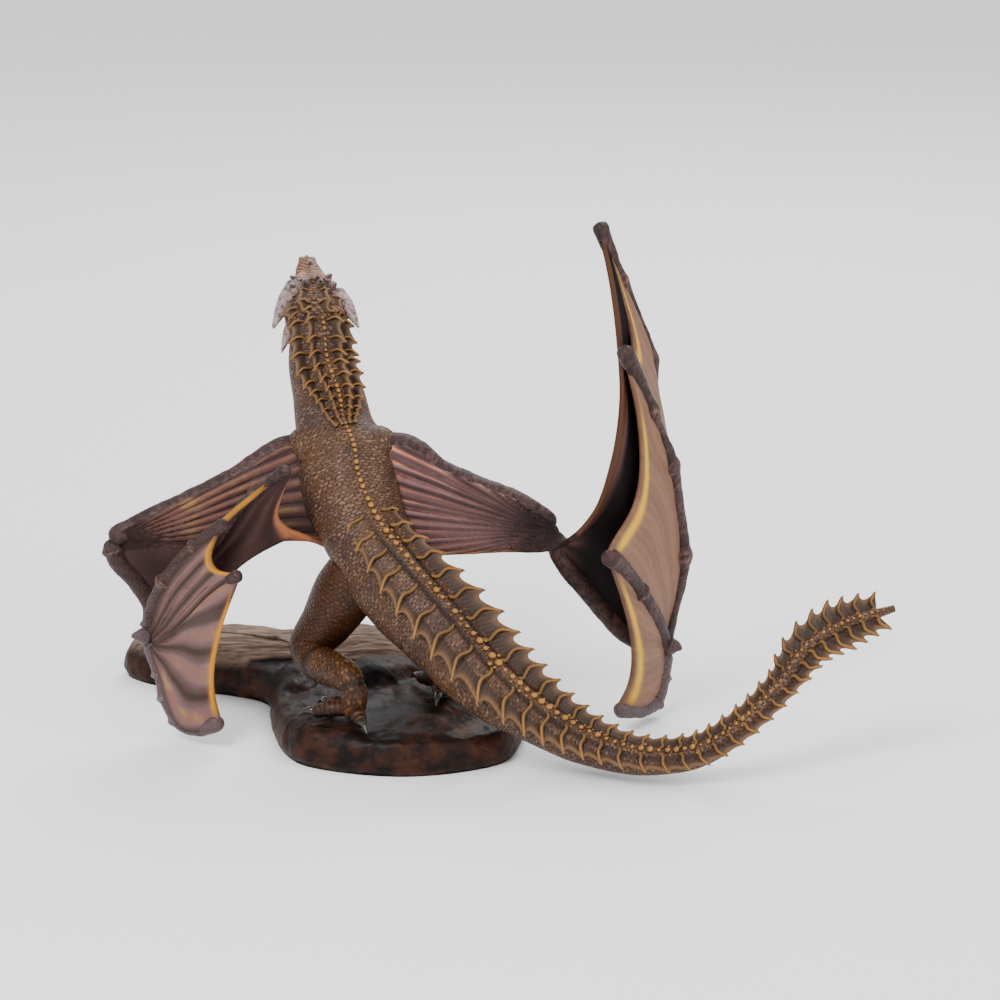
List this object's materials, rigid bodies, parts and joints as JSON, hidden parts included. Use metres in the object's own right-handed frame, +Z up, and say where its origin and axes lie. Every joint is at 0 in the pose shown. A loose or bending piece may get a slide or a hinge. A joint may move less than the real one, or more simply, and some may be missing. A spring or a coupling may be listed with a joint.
{
  "type": "dragon statue",
  "caption": "Cast dragon statue on a rock base: a two-legged dragon seen standing with raised head, arched wings and a long tail swept out to one side.",
  "frame": {"origin": "centre of the base's flat underside, below the dragon's feet", "axes": "+Z up, +Y the way the dragon faces, +X towards the dragon's right wing and its tail"},
  "size_m": [0.3978, 0.1923, 0.2682],
  "materials": {
    "dragon_body": "hand-painted cast resin, golden brown scales, satin",
    "wings": "hand-painted cast resin, mauve and orange membranes, satin",
    "base": "hand-painted cast resin, dark brown rock and log, satin with gloss in the hollows"
  },
  "bodies": {
    "root": {"dragon_body": "dragon_body", "right_wing": "wings", "left_wing": "wings", "base": "base"}
  },
  "joints": []
}
